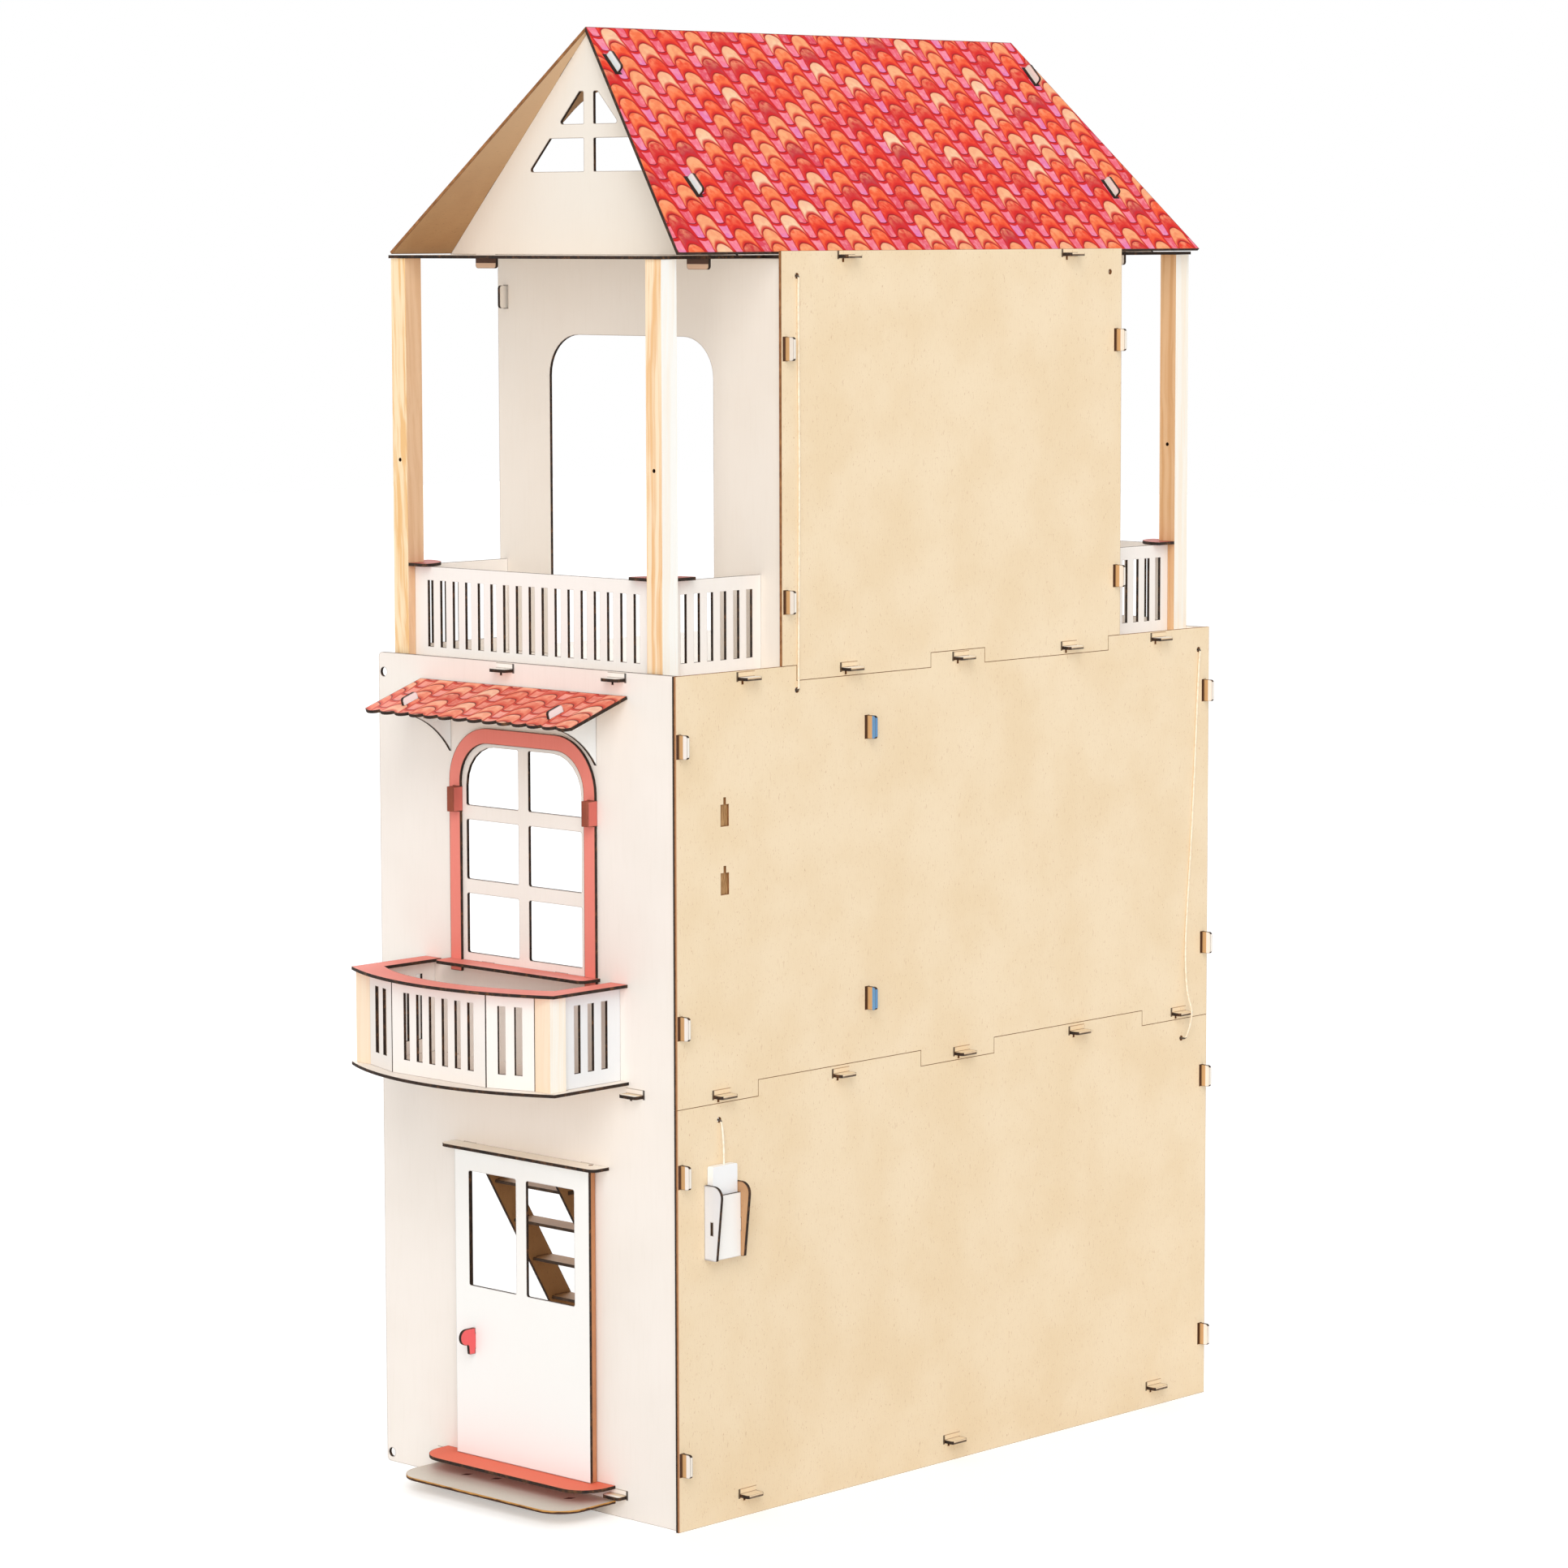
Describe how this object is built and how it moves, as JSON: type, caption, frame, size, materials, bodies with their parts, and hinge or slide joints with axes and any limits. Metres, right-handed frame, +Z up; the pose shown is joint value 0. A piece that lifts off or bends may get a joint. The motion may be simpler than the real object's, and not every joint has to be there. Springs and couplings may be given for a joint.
{
  "type": "dollhouse",
  "caption": "Tall narrow plywood dollhouse with a hinged front door, a stair, a curved balcony, open terraces between square posts and a gabled tile-print roof.",
  "frame": {"origin": "centre of the overall bounding box, on the ground", "axes": "+Z up, +X out of the closed back wall, +Y from the door facade to the far end wall; the open play side faces -X"},
  "size_m": [0.4264, 0.9062, 1.3859],
  "materials": {
    "white_painted_ply": "matte",
    "birch_ply": "matte",
    "pine": "matte",
    "red_painted_ply": "matte",
    "tile_print_ply": "matte",
    "brown_ply": "matte",
    "blue_painted_ply": "matte",
    "white_plastic": "satin"
  },
  "bodies": {
    "house": {"base_floor": "birch_ply", "first_floor": "birch_ply", "terrace_floor": "birch_ply", "facade_wall": "white_painted_ply", "far_end_wall": "white_painted_ply", "back_wall_ground": "birch_ply", "back_wall_first": "birch_ply", "back_wall_top": "birch_ply", "partition_wall": "blue_painted_ply", "stair_stringer_left": "brown_ply", "stair_stringer_right": "brown_ply", "stair_treads": "brown_ply", "upper_end_wall_front": "white_painted_ply", "upper_end_wall_far": "white_painted_ply", "upper_play_beam": "white_painted_ply", "attic_floor": "birch_ply", "gable_front": "white_painted_ply", "gable_far": "white_painted_ply", "roof_slope_back": "tile_print_ply", "roof_slope_play": "tile_print_ply", "post_front_back": "pine", "post_front_play": "pine", "post_far_back": "pine", "post_far_play": "pine", "end_rail_front": "white_painted_ply", "end_rail_far": "white_painted_ply", "side_rail_front_back": "white_painted_ply", "side_rail_front_play": "white_painted_ply", "side_rail_far_back": "white_painted_ply", "side_rail_far_play": "white_painted_ply", "rail_corner_caps": "red_painted_ply", "window_frame": "red_painted_ply", "window_pegs": "red_painted_ply", "window_sill": "red_painted_ply", "awning_panel": "tile_print_ply", "awning_brackets": "white_painted_ply", "balcony_floor": "white_painted_ply", "balcony_panel_middle": "white_painted_ply", "balcony_panel_left": "white_painted_ply", "balcony_panel_right": "white_painted_ply", "balcony_side_left": "white_painted_ply", "balcony_side_right": "white_painted_ply", "balcony_corner_left": "pine", "balcony_corner_right": "pine", "balcony_cap": "red_painted_ply", "door_lintel": "birch_ply", "door_step_upper": "red_painted_ply", "door_step_lower": "white_painted_ply", "pocket_side_near": "white_painted_ply", "pocket_side_far": "white_painted_ply", "pocket_front": "white_painted_ply", "pocket_floor": "birch_ply", "battery_case": "white_plastic", "wire_upper": "white_plastic", "wire_lower": "white_plastic", "wire_pocket": "white_plastic"},
    "door": {"door_leaf": "white_painted_ply", "door_pivot_rod": "pine", "door_handle": "red_painted_ply"}
  },
  "joints": [
    {"name": "door_hinge", "type": "hinge", "parent": "house", "child": "door", "pos_m": [0.0784, -0.32612, 0.18], "axis": [0, 0, 1], "range_deg": [0, 90]}
  ]
}
